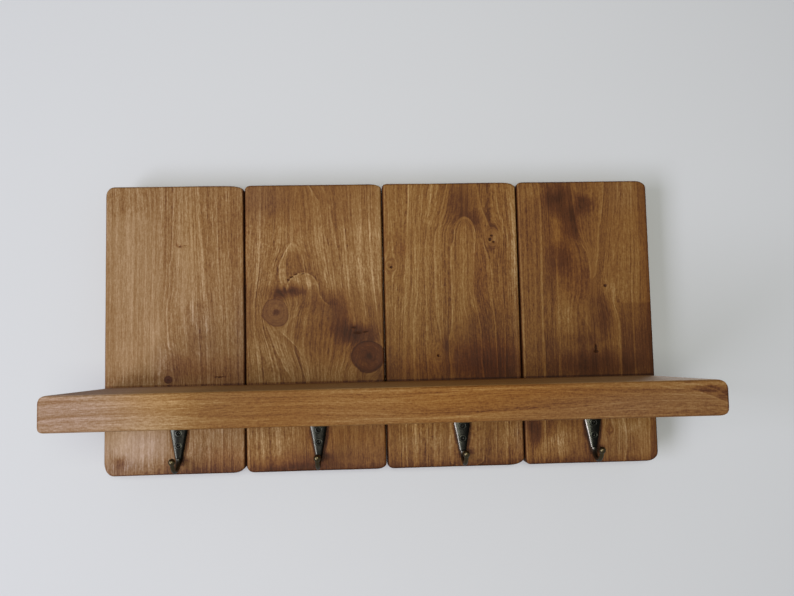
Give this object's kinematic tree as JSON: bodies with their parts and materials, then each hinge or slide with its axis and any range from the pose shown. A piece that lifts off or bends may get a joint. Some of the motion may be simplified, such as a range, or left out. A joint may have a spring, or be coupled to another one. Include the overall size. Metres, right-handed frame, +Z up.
{
  "type": "wall shelf with hooks",
  "caption": "Rustic wall shelf: upright boards form a back panel, a thick shelf board stands out from them, and small cast ball-ended hooks hang below the shelf.",
  "frame": {"origin": "midway between the two keyhole entry holes, in the plane of the wall", "axes": "+Z up, -Y out from the wall towards the room, +X to the right of someone who faces the shelf"},
  "size_m": [0.5754, 0.202, 0.3],
  "materials": {
    "board_wood": "stained softwood with a satin wax, upright grain",
    "shelf_wood": "stained softwood with a satin wax, grain along the shelf",
    "batten_wood": "bare planed softwood",
    "hook_iron": "antique dark iron, worn brassy on the ball",
    "hook_screw_steel": "blackened steel",
    "hanger_steel": "zinc plated steel",
    "zinc_screw_steel": "yellow zinc plated steel"
  },
  "bodies": {
    "root": {"shelf_board": "shelf_wood", "upper_batten": "batten_wood", "lower_batten": "batten_wood", "back_board_1": "board_wood", "hook_1": "hook_iron", "hook_1_screw_upper": "hook_screw_steel", "hook_1_screw_lower": "hook_screw_steel", "back_board_2": "board_wood", "hook_2": "hook_iron", "hook_2_screw_upper": "hook_screw_steel", "hook_2_screw_lower": "hook_screw_steel", "back_board_3": "board_wood", "hook_3": "hook_iron", "hook_3_screw_upper": "hook_screw_steel", "hook_3_screw_lower": "hook_screw_steel", "back_board_4": "board_wood", "hook_4": "hook_iron", "hook_4_screw_upper": "hook_screw_steel", "hook_4_screw_lower": "hook_screw_steel", "keyhole_plate_left": "hanger_steel", "keyhole_plate_left_screw_upper": "zinc_screw_steel", "keyhole_plate_left_screw_lower": "zinc_screw_steel", "keyhole_plate_right": "hanger_steel", "keyhole_plate_right_screw_upper": "zinc_screw_steel", "keyhole_plate_right_screw_lower": "zinc_screw_steel", "shelf_screw_1": "zinc_screw_steel", "shelf_screw_2": "zinc_screw_steel", "shelf_screw_3": "zinc_screw_steel", "shelf_screw_4": "zinc_screw_steel", "shelf_screw_5": "zinc_screw_steel", "shelf_screw_6": "zinc_screw_steel", "shelf_screw_7": "zinc_screw_steel", "shelf_screw_8": "zinc_screw_steel", "upper_batten_screw_1": "zinc_screw_steel", "upper_batten_screw_2": "zinc_screw_steel", "upper_batten_screw_3": "zinc_screw_steel", "upper_batten_screw_4": "zinc_screw_steel", "upper_batten_screw_5": "zinc_screw_steel", "upper_batten_screw_6": "zinc_screw_steel", "upper_batten_screw_7": "zinc_screw_steel", "upper_batten_screw_8": "zinc_screw_steel", "lower_batten_screw_1": "zinc_screw_steel", "lower_batten_screw_2": "zinc_screw_steel", "lower_batten_screw_3": "zinc_screw_steel", "lower_batten_screw_4": "zinc_screw_steel"}
  },
  "joints": []
}
